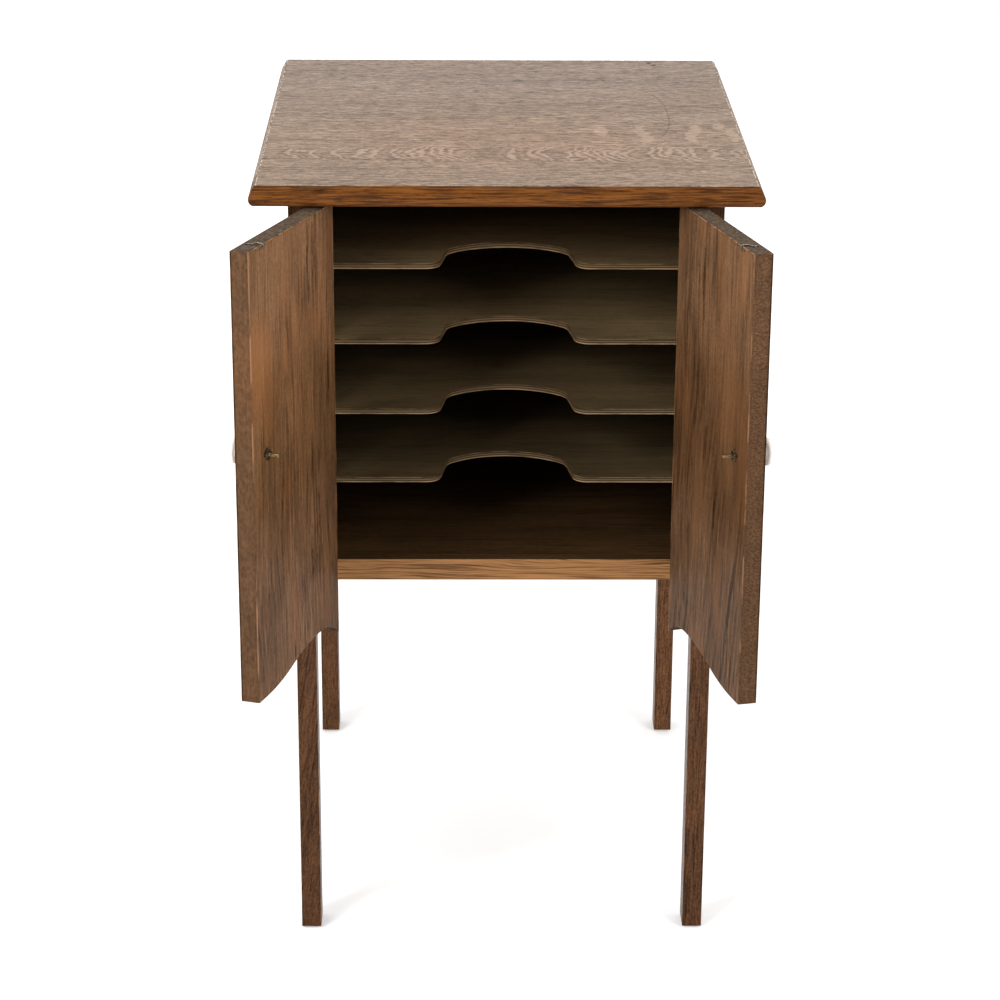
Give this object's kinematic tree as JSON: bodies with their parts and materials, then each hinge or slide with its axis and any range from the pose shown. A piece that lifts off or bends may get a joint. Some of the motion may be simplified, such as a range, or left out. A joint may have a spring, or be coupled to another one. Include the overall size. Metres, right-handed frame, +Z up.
{
  "type": "record cabinet",
  "caption": "Oak record cabinet on straight legs with two hinged doors, thin record shelves with finger cut-outs and a moulded overhanging top.",
  "frame": {"origin": "bottom centre of the bounding box on the floor, with both doors standing open as stored", "axes": "+Z up, -Y towards the front where the doors open, +X to the right seen from the front"},
  "size_m": [0.5602, 0.774, 0.884],
  "materials": {
    "top_oak": "satin quartersawn oak, old varnish worn dull on top",
    "leg_oak": "satin dark brown oak",
    "door_oak": "satin flat-sawn oak, worn light at the arrises",
    "panel_oak": "satin brown oak",
    "bottom_oak": "golden brown wood, edge left paler",
    "shelf_ply": "dull stained three-ply",
    "back_ply": "dull stained plywood",
    "cleat_wood": "plain sawn wood, dull",
    "porcelain": "glossy white glaze",
    "brass": "tarnished brass",
    "nut_steel": "darkened steel",
    "spring_steel": "drawn spring wire",
    "hinge_steel": "steel with an old bronzed finish",
    "glide_steel": "nickelled steel, scuffed"
  },
  "bodies": {
    "cabinet": {"top_board": "top_oak", "front_left_leg": "leg_oak", "front_right_leg": "leg_oak", "rear_left_leg": "leg_oak", "rear_right_leg": "leg_oak", "foot_glides": "glide_steel", "bottom_board": "bottom_oak", "record_shelf_1": "shelf_ply", "record_shelf_2": "shelf_ply", "record_shelf_3": "shelf_ply", "record_shelf_4": "shelf_ply", "back_panel": "back_ply", "back_panel_nails": "hinge_steel", "cleat_screws": "hinge_steel", "left_side_panel": "panel_oak", "right_side_panel": "panel_oak", "left_top_cleat": "cleat_wood", "right_top_cleat": "cleat_wood", "left_upper_hinge_leg_leaf": "hinge_steel", "left_upper_hinge_pin": "hinge_steel", "left_lower_hinge_leg_leaf": "hinge_steel", "left_lower_hinge_pin": "hinge_steel", "left_leg_hinge_screws": "hinge_steel", "right_upper_hinge_leg_leaf": "hinge_steel", "right_upper_hinge_pin": "hinge_steel", "right_lower_hinge_leg_leaf": "hinge_steel", "right_lower_hinge_pin": "hinge_steel", "right_leg_hinge_screws": "hinge_steel"},
    "left_door": {"left_door_board": "door_oak", "left_door_knob": "porcelain", "left_knob_bolt": "brass", "left_knob_nut": "nut_steel", "left_catch_wire": "spring_steel", "left_door_hinge_screws": "hinge_steel", "left_upper_hinge_door_leaf": "hinge_steel", "left_lower_hinge_door_leaf": "hinge_steel"},
    "right_door": {"right_door_board": "door_oak", "right_door_knob": "porcelain", "right_knob_bolt": "brass", "right_knob_nut": "nut_steel", "right_catch_wire": "spring_steel", "right_door_hinge_screws": "hinge_steel", "right_upper_hinge_door_leaf": "hinge_steel", "right_lower_hinge_door_leaf": "hinge_steel"}
  },
  "joints": [
    {"name": "left_door_hinge", "type": "hinge", "parent": "cabinet", "child": "left_door", "pos_m": [-0.19943, -0.18447, 0.64], "axis": [0, 0, -1], "range_deg": [-111.5, 68.5]},
    {"name": "right_door_hinge", "type": "hinge", "parent": "cabinet", "child": "right_door", "pos_m": [0.21257, -0.18447, 0.64], "axis": [0, 0, 1], "range_deg": [-107, 73]}
  ]
}
